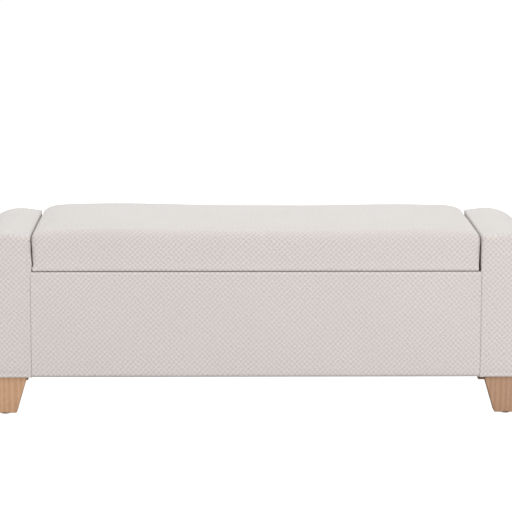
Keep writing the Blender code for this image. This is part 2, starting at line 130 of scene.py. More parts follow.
EYE = (-0.102, -5.786, 1.3695)
LENS = 164.2
PITCH, YAW, ROLL = math.radians(9.90), math.radians(1.04), math.radians(0.12)
eye_data = bpy.data.cameras.new("camera")
eye_data.lens = LENS
eye_data.sensor_width = 36.0
eye_data.clip_end = 60.0
eye = link("camera", eye_data)
eye.location = EYE
turn = Matrix.Rotation(-YAW, 4, "Z") @ Matrix.Rotation(math.pi / 2 - PITCH, 4, "X")
eye.rotation_euler = (turn @ Matrix.Rotation(ROLL, 4, "Z")).to_euler()
bpy.context.scene.camera = eye
bpy.context.scene.view_settings.view_transform = "Standard"


# ---------------------------------------------------------------- feet
# Four solid oak blocks, tapered towards the outside, with eased edges and a clear
# matt oil. Each is held by one bolt and stands on a plastic glide.
def maths(tree, operation, *terms):
    """One Math node; returns its result."""
    return put(tree, "ShaderNodeMath", dict(enumerate(terms)), operation=operation).outputs[0]


def blend_colours(tree, amount, first, second, way="MIX"):
    """Mixes two colours, given as links or as values."""
    made = put(tree, "ShaderNodeMix", {"Factor": amount, 6: first, 7: second},
               data_type="RGBA", blend_type=way)
    return made.outputs[2]


def effect(name, inputs, outputs):
    """Starts a shader node group. Returns it with what goes in and what comes out."""
    group = bpy.data.node_groups.new(name, "ShaderNodeTree")
    for socket, kind, value in inputs:
        made = group.interface.new_socket(socket, in_out="INPUT", socket_type=kind)
        if value is not None:
            made.default_value = value
    for socket in outputs:
        group.interface.new_socket(socket, in_out="OUTPUT", socket_type="NodeSocketFloat")
    ins = group.nodes.new("NodeGroupInput").outputs
    outs = group.nodes.new("NodeGroupOutput").inputs
    return group, ins, outs


def use(tree, group, **inputs):
    """Places an effect in a material; returns its outputs."""
    made = put(tree, "ShaderNodeGroup", node_tree=group)
    for socket, value in inputs.items():
        target = made.inputs[socket.replace("_", " ")]
        if isinstance(value, bpy.types.NodeSocket):
            tree.links.new(value, target)
        else:
            target.default_value = value
    return made.outputs


wood_grain, ins, outs = effect(
    "wood grain",
    [("place", "NodeSocketVector", None), ("lines per metre", "NodeSocketVector", (90, 90, 5)),
     ("ring waver", "NodeSocketFloat", 2.0)],
    ["streaks", "rings", "pores"],
)
drawn = put(wood_grain, "ShaderNodeVectorMath", {0: ins["place"], 1: ins["lines per metre"]},
            operation="MULTIPLY").outputs[0]
streak = put(wood_grain, "ShaderNodeTexNoise", {"Vector": drawn, "Scale": 1.0, "Detail": 7.0,
                                                "Roughness": 0.62})
wave = put(wood_grain, "ShaderNodeTexWave", {"Vector": drawn, "Scale": 0.16, "Detail": 3.0,
                                             "Distortion": ins["ring waver"]})
pore = put(wood_grain, "ShaderNodeTexNoise", {"Vector": drawn, "Scale": 7.0, "Detail": 2.0})
wood_grain.links.new(streak.outputs["Fac"], outs["streaks"])
wood_grain.links.new(wave.outputs["Fac"], outs["rings"])
wood_grain.links.new(
    put(wood_grain, "ShaderNodeMapRange", {0: pore.outputs["Fac"], 1: 0.56, 2: 0.68}).outputs[0],
    outs["pores"],
)


def oak(name, light, mid, dark):
    """Oiled oak cut from one board, in its three tones."""
    made, tree, surface = finish(name, {"Roughness": 0.55, "Specular IOR Level": 0.35})
    spot = put(tree, "ShaderNodeTexCoord").outputs["Object"]
    grain = use(tree, wood_grain, place=spot, lines_per_metre=(150.0, 150.0, 7.0), ring_waver=3.2)
    tone = maths(tree, "ADD", maths(tree, "MULTIPLY", grain["streaks"], 0.7),
                 maths(tree, "MULTIPLY", grain["rings"], 0.38))
    tone = put(tree, "ShaderNodeMapRange", {0: tone, 1: 0.28, 2: 0.78}).outputs[0]
    colour = blend_colours(tree, tone, mid, light)
    colour = blend_colours(tree, maths(tree, "MULTIPLY", grain["pores"], 0.42), colour, dark)
    rough = put(tree, "ShaderNodeMapRange", {0: grain["streaks"], 3: 0.48, 4: 0.66}).outputs[0]
    raised = maths(tree, "SUBTRACT", maths(tree, "MULTIPLY", tone, 0.5), grain["pores"])
    dent = put(tree, "ShaderNodeBump", {"Height": raised, "Strength": 0.35, "Distance": 0.0004})
    feed(tree, surface, base_color=colour, roughness=rough, normal=dent.outputs[0])
    return made


# Two copies of one oak, one for each side's feet. The left copy's tones are lighter as painted light,
# and the right copy's are darker as painted shade.
OAK_LIT_AND_SHADED_COPIES = {
    "left": oak("oak, left feet, painted light", (0.70, 0.44, 0.268, 1), (0.60, 0.352, 0.203, 1),
                (0.36, 0.19, 0.10, 1)),
    "right": oak("oak, right feet, painted shade", (0.555, 0.348, 0.226, 1), (0.473, 0.279, 0.171, 1),
                 (0.29, 0.15, 0.083, 1)),
}


def copied(node):
    """A CAD node's shape as a clean bmesh, with its flat sides as single faces."""
    shape = bmesh.new()
    shape.from_mesh(bpy.data.objects[node].data)
    bmesh.ops.remove_doubles(shape, verts=shape.verts, dist=0.00001)
    bmesh.ops.dissolve_limit(shape, angle_limit=math.radians(1.0), verts=shape.verts,
                             edges=shape.edges)
    return shape


def round_over(shape, edges, width, segments):
    """Rounds the given edges of a shape."""
    bmesh.ops.bevel(shape, geom=edges, offset=width, offset_type="OFFSET", segments=segments,
                    profile=0.5, affect="EDGES", clamp_overlap=True, material=-1)


def creases(shape, least=30.0):
    """The edges where two sides meet at an angle."""
    return [edge for edge in shape.edges
            if edge.is_manifold and edge.calc_face_angle() > math.radians(least)]


def piece(name, shape, material, body, stands_for=(), crisp=40.0):
    """Makes a shape a piece of the bench, on its body and in place of its CAD nodes."""
    bmesh.ops.recalc_face_normals(shape, faces=shape.faces)
    for face in shape.faces:
        face.smooth = True
    mesh = bpy.data.meshes.new(name)
    shape.to_mesh(mesh)
    shape.free()
    mesh.set_sharp_from_angle(angle=math.radians(crisp))
    mesh.materials.append(material)
    thing = link(name, mesh)
    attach(thing, body)
    if stands_for:
        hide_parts(*stands_for)
    return thing


FOOT_EASE = 0.0022
ENDS = (("left", -1), ("right", 1))
CORNERS = [f"{depth}_{side}" for depth in ("front", "back") for side, _ in ENDS]
for corner in CORNERS:
    shape = copied(f"{corner}_foot")
    round_over(shape, creases(shape), FOOT_EASE, 3)
    # Each foot takes its side's copy of the oak, painted lighter on the left and darker (painted shade)
    # on the right.
    piece(f"{corner}_oak_foot", shape, OAK_LIT_AND_SHADED_COPIES[corner.split("_")[1]], "base",
          [f"{corner}_foot"])


# ---------------------------------------------------------------- bolts and glides
# Zinc-plated steel bolts hold the feet; black plastic glides keep them off the floor.
# Handled metal and plastic carry fine scratches and a little dust.
def repaint(nodes, material):
    """Gives CAD nodes whose shape is right their material."""
    for node in nodes:
        for seat in bpy.data.objects[node].material_slots:
            seat.material = material
        if not bpy.data.objects[node].material_slots:
            bpy.data.objects[node].data.materials.append(material)


handling_wear, ins, outs = effect(
    "handling wear",
    [("place", "NodeSocketVector", None), ("scratches per metre", "NodeSocketFloat", 400.0)],
    ["scratches", "dust"],
)
long_way = put(handling_wear, "ShaderNodeVectorMath", {0: ins["place"], 1: (0.06, 1.0, 1.0)},
               operation="MULTIPLY").outputs[0]
scratch = put(handling_wear, "ShaderNodeTexNoise",
              {"Vector": long_way, "Scale": ins["scratches per metre"], "Detail": 4.0})
cloud = put(handling_wear, "ShaderNodeTexNoise", {"Vector": ins["place"], "Scale": 60.0,
                                                  "Detail": 5.0})
handling_wear.links.new(
    put(handling_wear, "ShaderNodeMapRange", {0: scratch.outputs["Fac"], 1: 0.5, 2: 0.72}).outputs[0],
    outs["scratches"],
)
handling_wear.links.new(
    put(handling_wear, "ShaderNodeMapRange", {0: cloud.outputs["Fac"], 1: 0.42, 2: 0.75}).outputs[0],
    outs["dust"],
)


def worn_finish(name, clean, dusty, polished, dull, shader):
    """A smooth hard material whose colour and gloss vary with handling."""
    made, tree, surface = finish(name, shader)
    spot = put(tree, "ShaderNodeTexCoord").outputs["Object"]
    wear = use(tree, handling_wear, place=spot)
    colour = blend_colours(tree, maths(tree, "MULTIPLY", wear["dust"], 0.5), clean, dusty)
    rough = put(tree, "ShaderNodeMapRange", {0: wear["dust"], 3: polished, 4: dull}).outputs[0]
    dent = put(tree, "ShaderNodeBump", {"Height": wear["scratches"], "Strength": 0.2,
                                        "Distance": 0.0001})
    feed(tree, surface, base_color=colour, roughness=rough, normal=dent.outputs[0])
    return made


zinc_steel = worn_finish("zinc-plated steel", (0.62, 0.63, 0.64, 1), (0.46, 0.46, 0.45, 1),
                         0.24, 0.46, {"Metallic": 1.0})
black_plastic = worn_finish("black plastic", (0.018, 0.018, 0.019, 1), (0.07, 0.068, 0.064, 1),
                            0.32, 0.55, {"Specular IOR Level": 0.5})
black_rubber = worn_finish("black rubber", (0.022, 0.021, 0.020, 1), (0.075, 0.072, 0.068, 1),
                           0.62, 0.85, {"Specular IOR Level": 0.4})
repaint([f"{corner}_foot_bolt" for corner in CORNERS], zinc_steel)
repaint([f"{corner}_glide" for corner in CORNERS], black_plastic)


# ---------------------------------------------------------------- plywood case
# The box and the arm frames are birch plywood screwed at the corners, with solid
# battens under the front rim and along the hinge. Cloth and lining hide nearly all.
plywood, tree, surface = finish("birch plywood", {"Roughness": 0.7})
spot = put(tree, "ShaderNodeTexCoord").outputs["Object"]
grain = use(tree, wood_grain, place=spot, lines_per_metre=(6.0, 120.0, 120.0), ring_waver=5.0)
tone = maths(tree, "ADD", maths(tree, "MULTIPLY", grain["streaks"], 0.6),
             maths(tree, "MULTIPLY", grain["rings"], 0.3))
colour = blend_colours(tree, tone, (0.50, 0.345, 0.20, 1), (0.72, 0.56, 0.38, 1))
colour = blend_colours(tree, maths(tree, "MULTIPLY", grain["pores"], 0.25), colour,
                       (0.33, 0.20, 0.11, 1))
dent = put(tree, "ShaderNodeBump", {"Height": grain["streaks"], "Strength": 0.2, "Distance": 0.0003})
feed(tree, surface, base_color=colour, normal=dent.outputs[0])
ARM_BOARDS = [f"{side}_arm_{face}_board" for side, _ in ENDS
              for face in ("inner", "outer", "front", "back", "top")]
repaint(["base_board", "front_board", "back_board", "left_end_board", "right_end_board",
         "front_rail", "hinge_rail", "lid_board", *ARM_BOARDS], plywood)


# ---------------------------------------------------------------- storage lining
# Black non-woven cloth lines the box. A tape of the same cloth is turned over the rim
# of each side and stapled; along the back it stops at the hinge, with a short piece
# beyond each end of the hinge.
thread_weave, ins, outs = effect(
    "thread weave",
    [("place", "NodeSocketVector", None), ("thread", "NodeSocketFloat", 0.0012)],
    ["warp on top", "height", "slub"],
)
counted = put(thread_weave, "ShaderNodeVectorMath", {0: ins["place"]}, operation="SCALE")
thread_weave.links.new(maths(thread_weave, "DIVIDE", 1.0, ins["thread"]), counted.inputs["Scale"])
apart = put(thread_weave, "ShaderNodeSeparateXYZ", {0: counted.outputs[0]})
warp_wave = maths(thread_weave, "SINE", maths(thread_weave, "MULTIPLY", apart.outputs[0], math.pi))
weft_wave = maths(thread_weave, "SINE", maths(thread_weave, "MULTIPLY", apart.outputs[1], math.pi))
crossing = maths(thread_weave, "MULTIPLY", warp_wave, weft_wave)
on_top = put(thread_weave, "ShaderNodeMapRange", {0: crossing, 1: -0.35, 2: 0.35}).outputs[0]
warp_high = maths(thread_weave, "MULTIPLY", maths(thread_weave, "ABSOLUTE", warp_wave), on_top)
weft_high = maths(thread_weave, "MULTIPLY", maths(thread_weave, "ABSOLUTE", weft_wave),
                  maths(thread_weave, "SUBTRACT", 1.0, on_top))
uneven = []
for stretch in ((0.9, 0.035, 1.0), (0.035, 0.9, 1.0)):
    along = put(thread_weave, "ShaderNodeVectorMath", {0: counted.outputs[0], 1: stretch},
                operation="MULTIPLY").outputs[0]
    uneven.append(put(thread_weave, "ShaderNodeTexNoise",
                      {"Vector": along, "Scale": 1.0, "Detail": 2.0}).outputs["Fac"])
slub = put(thread_weave, "ShaderNodeMix", {"Factor": on_top, 2: uneven[1], 3: uneven[0]})
thread_weave.links.new(on_top, outs["warp on top"])
thread_weave.links.new(maths(thread_weave, "MAXIMUM", warp_high, weft_high), outs["height"])
thread_weave.links.new(slub.outputs[0], outs["slub"])

lining_cloth, tree, surface = finish("black lining cloth", {"Roughness": 0.92, "Sheen Weight": 0.25})
spot = put(tree, "ShaderNodeUVMap", uv_map="weave").outputs[0]
threads = use(tree, thread_weave, place=spot, thread=0.0011)
lint = put(tree, "ShaderNodeTexNoise", {"Vector": spot, "Scale": 260.0, "Detail": 4.0})
tone = maths(tree, "ADD", maths(tree, "MULTIPLY", threads["slub"], 0.6),
             maths(tree, "MULTIPLY", lint.outputs["Fac"], 0.5))
colour = blend_colours(tree, tone, (0.010, 0.010, 0.011, 1), (0.052, 0.050, 0.049, 1))
dent = put(tree, "ShaderNodeBump", {"Height": threads["height"], "Strength": 0.4, "Distance": 0.0003})
feed(tree, surface, base_color=colour, normal=dent.outputs[0])


def block(low, high):
    """A plain block between two corners, for further shaping."""
    low, high = Vector(low), Vector(high)
    shape = bmesh.new()
    bmesh.ops.create_cube(shape, size=1.0, matrix=Matrix.Translation((low + high) / 2)
                          @ Matrix.Diagonal((*(high - low), 1.0)))
    return shape


def slice_evenly(shape, axis, pitch):
    """Cuts a shape across one axis at even steps, so that it can take a curve."""
    places = [vert.co[axis] for vert in shape.verts]
    low, high = min(places), max(places)
    count = max(1, round((high - low) / pitch))
    way = Vector((axis == 0, axis == 1, axis == 2))
    for number in range(1, count):
        bmesh.ops.bisect_plane(shape, geom=[*shape.verts, *shape.edges, *shape.faces],
                               plane_co=way * (low + (high - low) * number / count), plane_no=way)


def flat_lay(spot, facing):
    """Where a point lies on cloth laid straight over its side, in metres."""
    if abs(facing.y) >= max(abs(facing.x), abs(facing.z)):
        return spot.x, spot.z
    if abs(facing.x) > abs(facing.z):
        return spot.y, spot.z
    return spot.x, spot.y


def lay_cloth(shape, path=flat_lay):
    """Writes each face's place on the flat cloth, so that the weave follows the piece."""
    bmesh.ops.recalc_face_normals(shape, faces=shape.faces)
    weave_map = shape.loops.layers.uv.new("weave")
    for face in shape.faces:
        for loop in face.loops:
            loop[weave_map].uv = path(loop.vert.co, face.normal)


LINING_THICK = 0.0008
LINING_WALLS = ((-0.5339, -0.1757, 0.1092), (0.5339, 0.1729, 0.3448))
WALL_FOLD = 0.004
shape = block(*LINING_WALLS)
bmesh.ops.delete(shape, geom=[max(shape.faces, key=lambda face: face.calc_center_median().z)],
                 context="FACES")
round_over(shape, creases(shape), WALL_FOLD, 3)
for axis, pitch in ((0, 0.04), (1, 0.04), (2, 0.03)):
    slice_evenly(shape, axis, pitch)
for vert in shape.verts:
    slack = noise.noise(Vector((vert.co.x * 9, vert.co.y * 9, vert.co.z * 7)))
    inward = Vector((-vert.co.x, -vert.co.y, 0.22 - vert.co.z)).normalized()
    vert.co += inward * (0.0006 + 0.0005 * slack)
bmesh.ops.recalc_face_normals(shape, faces=shape.faces)
bmesh.ops.solidify(shape, geom=shape.faces, thickness=LINING_THICK)
lay_cloth(shape)
lining = piece("storage_lining_cloth", shape, lining_cloth, "base", ["storage_lining"])
wide, deep, high = (b - a for a, b in zip(*LINING_WALLS))

TAPE_LOW = 0.3448
RIM_TAPES = {
    "front": ((-0.5330, -0.1965, 0.3535), (0.5330, -0.1749, 0.3543), 1, 1),
    "back": ((-0.5330, 0.1721, 0.3570), (0.5330, 0.1824, 0.3578), 1, -1),
    "left": ((-0.5459, -0.1950, 0.3572), (-0.5331, 0.2050, 0.3580), 0, 1),
    "right": ((0.5331, -0.1950, 0.3572), (0.5459, 0.2050, 0.3580), 0, -1),
}
for side, (low, high, axis, inner) in RIM_TAPES.items():
    shape = block(low, high)
    turned = list(high)
    hanging = list(low)
    hanging[2] = TAPE_LOW
    turned[2] = low[2]
    if inner > 0:
        hanging[axis] = high[axis] - LINING_THICK
    else:
        turned[axis] = low[axis] + LINING_THICK
    lip = bmesh.ops.create_cube(shape, size=1.0)["verts"]
    size = Vector(turned) - Vector(hanging)
    bmesh.ops.transform(shape, verts=lip, matrix=Matrix.Translation(
        (Vector(turned) + Vector(hanging)) / 2) @ Matrix.Diagonal((*size, 1.0)))
    slice_evenly(shape, 1 - axis, 0.03)
    lay_cloth(shape)
    tape = piece(f"{side}_rim_tape", shape, lining_cloth, "base")
    wide = (high[axis] - low[axis]) + (low[2] - TAPE_LOW)

END_TAPE_IN, END_TAPE_OUT, END_TAPE_FRONT, END_TAPE_BACK = 0.4815, 0.5329, 0.1826, 0.2050
END_TAPE_LOW, END_TAPE_TOP = 0.3570, 0.3578
for side, sign in ENDS:
    shape = block((END_TAPE_IN, END_TAPE_FRONT, END_TAPE_LOW),
                  (END_TAPE_OUT, END_TAPE_BACK, END_TAPE_TOP))
    bmesh.ops.scale(shape, verts=shape.verts, vec=(sign, 1.0, 1.0))
    lay_cloth(shape)
    tape = piece(f"{side}_hinge_end_tape", shape, lining_cloth, "base")


# ---------------------------------------------------------------- front and back cloth
# The cream cloth is woven in small diamonds from an ivory and a beige yarn. At the
# front it goes over thin wadding and turns over the rim; at the back it is drawn flat.
DIAMOND_WIDE, DIAMOND_HIGH = 0.0125, 0.0129
cream_cloth, tree, surface = finish(
    "cream diamond cloth",
    {"Roughness": 0.9, "Sheen Weight": 0.18, "Sheen Roughness": 0.5, "Specular IOR Level": 0.25},
)
spot = put(tree, "ShaderNodeUVMap", uv_map="weave").outputs[0]
drift = put(tree, "ShaderNodeTexNoise", {"Vector": spot, "Scale": 45.0, "Detail": 3.0})
shift = put(tree, "ShaderNodeVectorMath", {0: drift.outputs["Color"], 1: (0.5, 0.5, 0.5)},
            operation="SUBTRACT").outputs[0]
shift = put(tree, "ShaderNodeVectorMath", {0: shift, 1: (0.006, 0.006, 0.0)},
            operation="MULTIPLY").outputs[0]
pulled = put(tree, "ShaderNodeVectorMath", {0: spot, 1: shift}, operation="ADD").outputs[0]
threads = use(tree, thread_weave, place=pulled, thread=0.00095)
apart = put(tree, "ShaderNodeSeparateXYZ", {0: pulled})
over = maths(tree, "DIVIDE", apart.outputs[0], DIAMOND_WIDE)
up = maths(tree, "DIVIDE", apart.outputs[1], DIAMOND_HIGH)
rising = maths(tree, "PINGPONG", maths(tree, "ADD", over, up), 0.5)
falling = maths(tree, "PINGPONG", maths(tree, "SUBTRACT", over, up), 0.5)
inside = maths(tree, "MINIMUM", rising, falling)
outline = maths(tree, "COSINE", maths(tree, "MULTIPLY", inside, 2 * math.pi))
ring = maths(tree, "COSINE", maths(tree, "MULTIPLY", inside, 4 * math.pi))
figure = maths(tree, "MULTIPLY_ADD", ring, 0.34, maths(tree, "MULTIPLY_ADD", outline, 0.06, 0.5))
nub = put(tree, "ShaderNodeTexNoise", {"Vector": pulled, "Scale": 420.0, "Detail": 2.0,
                                       "Roughness": 0.6}).outputs["Fac"]
tone = maths(tree, "MULTIPLY_ADD", threads["warp on top"], 0.10,
             maths(tree, "MULTIPLY_ADD", figure, 0.52, -0.77))
tone = maths(tree, "MULTIPLY_ADD", threads["slub"], 0.45, tone)
tone = maths(tree, "MULTIPLY_ADD", nub, 1.46, tone)
cloth_colour = blend_colours(tree, tone, (0.470, 0.405, 0.370, 1), (0.990, 0.945, 0.915, 1))
patch = put(tree, "ShaderNodeTexNoise", {"Vector": spot, "Scale": 5.0, "Detail": 2.0})
patch = put(tree, "ShaderNodeMapRange", {0: patch.outputs["Fac"], 3: 0.965, 4: 1.02}).outputs[0]
patch = put(tree, "ShaderNodeCombineColor", {n: patch for n in range(3)}).outputs[0]
cloth_colour = blend_colours(tree, 1.0, cloth_colour, patch, "MULTIPLY")
raised = maths(tree, "ADD", maths(tree, "MULTIPLY", threads["height"], 0.6),
               maths(tree, "MULTIPLY", figure, 0.4))
dent = put(tree, "ShaderNodeBump", {"Height": raised, "Strength": 0.5, "Distance": 0.0005})
feed(tree, surface, base_color=cloth_colour, normal=dent.outputs[0])

FRONT, FRONT_WADDING = -0.216, 0.0077
CASE_HALF, CASE_LOW, FRONT_RIM = 0.5472, 0.0955, 0.3574
SEAM_ROUND, LOWER_ROUND, RIM_ROUND = 0.0009, 0.0080, 0.0020
shape = block((-CASE_HALF, FRONT, CASE_LOW), (CASE_HALF, FRONT + FRONT_WADDING, FRONT_RIM))
flap = bmesh.ops.create_cube(shape, size=1.0)["verts"]
FLAP_BACK, FLAP_LOW, FLAP_HALF = -0.1968, 0.3537, 0.5336
bmesh.ops.transform(shape, verts=flap, matrix=Matrix.Translation(
    (0, (FRONT + FRONT_WADDING + FLAP_BACK) / 2, (FLAP_LOW + FRONT_RIM) / 2)) @ Matrix.Diagonal(
    (2 * FLAP_HALF, FLAP_BACK - FRONT - FRONT_WADDING, FRONT_RIM - FLAP_LOW, 1.0)))
slice_evenly(shape, 0, 0.02)
slice_evenly(shape, 2, 0.004)
for vert in shape.verts:
    if vert.co.y > FRONT + 0.001:
        continue
    across = CASE_HALF - abs(vert.co.x)
    above, below = FRONT_RIM - vert.co.z, vert.co.z - CASE_LOW
    for gap, radius in ((across, SEAM_ROUND), (above, RIM_ROUND), (below, LOWER_ROUND)):
        if gap < radius:
            vert.co.y += radius - math.sqrt(max(0.0, radius ** 2 - (radius - gap) ** 2))
lay_cloth(shape)
front_panel = piece("front_panel_cloth", shape, cream_cloth, "base",
                    ["front_cover"], crisp=70.0)

BACK_OUT, BACK_IN, BACK_HALF, BACK_RIM = 0.2085, 0.2056, 0.5461, 0.3568
BACK_ROUND = 0.0018
shape = block((-BACK_HALF, BACK_IN, CASE_LOW), (BACK_HALF, BACK_OUT, BACK_RIM))
round_over(shape, [edge for edge in shape.edges if min(v.co.y for v in edge.verts) > BACK_OUT - 1e-5],
           BACK_ROUND, 3)
slice_evenly(shape, 0, 0.03)
slice_evenly(shape, 2, 0.03)
lay_cloth(shape)
back_panel = piece("back_panel_cloth", shape, cream_cloth, "base", ["back_cover"])


# ---------------------------------------------------------------- arms
# Each arm is a plywood box under foam and wadding, covered in the cream cloth. The top
# is crowned, low towards the lid and rolled well down on the outside.
def swollen(shape, name, voxel, pressure, reach, held):
    """Swells a closed shape as its stuffing does: an even skin, a short cloth run, smoothed.
    Points for which held() is true stay where they are, and none moves further than reach."""
    mesh = bpy.data.meshes.new(name)
    shape.to_mesh(mesh)
    shape.free()
    skin = link(name + "_skin", mesh)
    even = skin.modifiers.new("even skin", "REMESH")
    even.mode = "VOXEL"
    even.voxel_size = voxel
    bpy.context.view_layer.update()
    seen_now = bpy.context.evaluated_depsgraph_get()
    mesh = bpy.data.meshes.new_from_object(skin.evaluated_get(seen_now))
    bpy.data.objects.remove(skin)
    skin = link(name + "_skin", mesh)
    start = [vert.co.copy() for vert in mesh.vertices]
    fixed = skin.vertex_groups.new(name="fixed")
    fixed.add([n for n, spot in enumerate(start) if held(spot)], 1.0, "REPLACE")
    cloth = skin.modifiers.new("cloth", "CLOTH")
    cloth.settings.quality = 4
    cloth.settings.mass = 0.25
    cloth.settings.use_pressure = True
    cloth.settings.uniform_pressure_force = pressure
    cloth.settings.vertex_group_mass = "fixed"
    cloth.settings.effector_weights.gravity = 0.0
    cloth.collision_settings.use_collision = False
    for moment in range(1, 21):
        bpy.context.scene.frame_set(moment)
    seen_now = bpy.context.evaluated_depsgraph_get()
    moved = [vert.co.copy() for vert in skin.evaluated_get(seen_now).data.vertices]
    skin.modifiers.remove(cloth)
    bpy.context.scene.frame_set(1)
    shape = bmesh.new()
    shape.from_mesh(mesh)
    bpy.data.objects.remove(skin)
    shape.normal_update()
    outward = [vert.normal.copy() for vert in shape.verts]
    for vert, old, new, way in zip(shape.verts, start, moved, outward):
        step = new - old
        step -= way * min(0.0, step.dot(way))
        if step.length > reach:
            step *= reach / step.length
        vert.co = old + step
    free = [vert for vert in shape.verts if not held(vert.co)]
    for _ in range(3):
        bmesh.ops.smooth_vert(shape, verts=free, factor=0.5, use_axis_x=True, use_axis_y=True,
                              use_axis_z=True)
    return shape


def finer(shape, name):
    """One round of subdivision, applied."""
    mesh = bpy.data.meshes.new(name)
    shape.to_mesh(mesh)
    shape.free()
    coarse = link(name + "_coarse", mesh)
    rounder = coarse.modifiers.new("rounder", "SUBSURF")
    rounder.levels = rounder.render_levels = 1
    bpy.context.view_layer.update()
    mesh = bpy.data.meshes.new_from_object(coarse.evaluated_get(bpy.context.evaluated_depsgraph_get()))
    bpy.data.objects.remove(coarse)
    shape = bmesh.new()
    shape.from_mesh(mesh)
    return shape


ARM_INNER, ARM_OUTER, ARM_LOW, ARM_TOP = 0.5468, 0.6955, 0.0955, 0.4522
ARM_CREST = 0.6045
INNER_DROP, OUTER_DROP = 0.0080, 0.080
ARM_FRONT, ARM_BACK = -0.2140, 0.2140
ARM_ROUND_STEPS = 10


def arm_outline(side):
    """The arm seen from the front: straight sides, a gentle inner slope and a rolled outside."""
    points = [(ARM_INNER, ARM_LOW)]
    for step in range(ARM_ROUND_STEPS + 1):
        rest = 1 - step / ARM_ROUND_STEPS
        points.append((ARM_CREST - (ARM_CREST - ARM_INNER) * rest,
                       ARM_TOP - INNER_DROP * rest * rest))
    for step in range(1, ARM_ROUND_STEPS + 1):
        turn = math.pi / 2 * step / ARM_ROUND_STEPS
        points.append((ARM_CREST + (ARM_OUTER - ARM_CREST) * math.sin(turn),
                       ARM_TOP - OUTER_DROP * (1 - math.cos(turn))))
    points.append((ARM_OUTER, ARM_LOW))
    return [(side * x, z) for x, z in points]


def arm_path(spot, facing):
    """Cloth laid up the inner side, over the crown and down the outside; ends laid straight."""
    if abs(facing.y) > 0.75:
        return spot.x, spot.z
    x = abs(spot.x)
    if x < ARM_CREST:
        run = (x - ARM_CREST) - max(0.0, ARM_TOP - INNER_DROP - spot.z)
    else:
        spread = min(1.0, (x - ARM_CREST) / (ARM_OUTER - ARM_CREST))
        turn = math.asin(spread)
        mean = math.sqrt(((ARM_OUTER - ARM_CREST) ** 2 + OUTER_DROP ** 2) / 2)
        run = mean * turn + (max(0.0, ARM_TOP - OUTER_DROP - spot.z) if spread > 0.96 else 0.0)
    return run, spot.y


def squared(a, b, a_edge, b_edge, reach, share):
    """Takes the round out of an edge that runs where a and b are lowest: the cloth is pulled
    tight over a board's corner there. A share of 1 gives a sharp edge."""
    in_a, in_b = (a_edge + reach - a) / reach, (b_edge + reach - b) / reach
    most = max(in_a, in_b)
    if min(in_a, in_b) <= 0.0 or most >= 1.0:
        return a, b
    out = (1.0 / most) ** share
    return a_edge + reach - in_a * out * reach, b_edge + reach - in_b * out * reach


BULGE = {"left": 0.0030, "right": 0.0}
BULGE_AT, BULGE_SPREAD = 0.372, 0.022
for side, sign in ENDS:
    shape = bmesh.new()
    corners = [shape.verts.new((x, ARM_FRONT, z)) for x, z in arm_outline(sign)]
    end = shape.faces.new(corners)
    grown = bmesh.ops.extrude_face_region(shape, geom=[end])["geom"]
    bmesh.ops.translate(shape, verts=[part for part in grown if isinstance(part, bmesh.types.BMVert)],
                        vec=(0, ARM_BACK - ARM_FRONT, 0))
    bmesh.ops.recalc_face_normals(shape, faces=shape.faces)
    rim = [edge for edge in shape.edges
           if abs(edge.verts[0].co.y - edge.verts[1].co.y) < 1e-6
           and min(vert.co.z for vert in edge.verts) > ARM_LOW + 0.01]
    round_over(shape, rim, 0.006, 3)
    shape = swollen(shape, f"{side}_arm", 0.0055, 3.0, 0.0026,
                    lambda spot: spot.z < ARM_LOW + 0.004
                    or (abs(spot.x) < ARM_INNER + 0.0015 and spot.z < 0.425))
    shape = finer(shape, f"{side}_arm")
    for vert in shape.verts:
        x, y, z = abs(vert.co.x), vert.co.y, vert.co.z
        z = max(z, ARM_LOW)
        y, z = squared(y, z, ARM_FRONT - 0.002, ARM_LOW, 0.008, 0.9)
        if z < 0.424:
            x, y = squared(max(x, ARM_INNER), y, ARM_INNER, ARM_FRONT - 0.0015, 0.010, 0.9)
        else:
            x, fall = squared(max(x, ARM_INNER), -z, ARM_INNER, INNER_DROP - ARM_TOP - 0.0026, 0.011,
                              0.8)
            z = -fall
        rise = (z - BULGE_AT) / BULGE_SPREAD
        bulge = BULGE[side] * math.exp(-rise * rise) * max(0.0, 1 - (x - ARM_INNER) / 0.03)
        vert.co = (sign * (x - bulge * max(0.0, min(1.0, (0.02 - y) / 0.2))), y, z)
    lay_cloth(shape, arm_path)
    arm = piece(f"{side}_arm_upholstery", shape, cream_cloth, "base",
                [f"{side}_arm_cover"], crisp=180.0)


# ---------------------------------------------------------------- dust cover
# Black lining cloth closes the underside, with its hem turned in and a row of wire
# staples along each edge.
DUST_LOW, DUST_HIGH = (-0.6785, -0.1960, 0.0953), (0.6785, 0.2000, 0.0961)
shape = block(DUST_LOW, DUST_HIGH)
slice_evenly(shape, 0, 0.03)
slice_evenly(shape, 1, 0.03)
lay_cloth(shape)
dust_cloth = piece("dust_cover_cloth", shape, lining_cloth, "base", ["dust_cover"])

STAPLE_LONG, STAPLE_WIRE = 0.010, 0.0007


def staple_row(shape, start, end, pitch, along):
    """Adds wire staples in a row, each lying along the given direction."""
    start, end, along = Vector(start), Vector(end), Vector(along)
    count = round((end - start).length / pitch)
    for number in range(count + 1):
        spot = start.lerp(end, number / count)
        size = Vector((STAPLE_WIRE,) * 3) + Vector(abs(part) for part in along) * STAPLE_LONG
        bmesh.ops.create_cube(shape, size=1.0, matrix=Matrix.Translation(spot)
                              @ Matrix.Diagonal((*size, 1.0)))


shape = bmesh.new()
STAPLE_IN = 0.006
for y in (DUST_LOW[1] + STAPLE_IN, DUST_HIGH[1] - STAPLE_IN):
    staple_row(shape, (-0.55, y, DUST_LOW[2]), (0.55, y, DUST_LOW[2]), 0.05, (1, 0, 0))
for x in (DUST_LOW[0] + STAPLE_IN, DUST_HIGH[0] - STAPLE_IN):
    staple_row(shape, (x, -0.11, DUST_LOW[2]), (x, 0.11, DUST_LOW[2]), 0.044, (0, 1, 0))
piece("dust_cover_staples", shape, zinc_steel, "base")


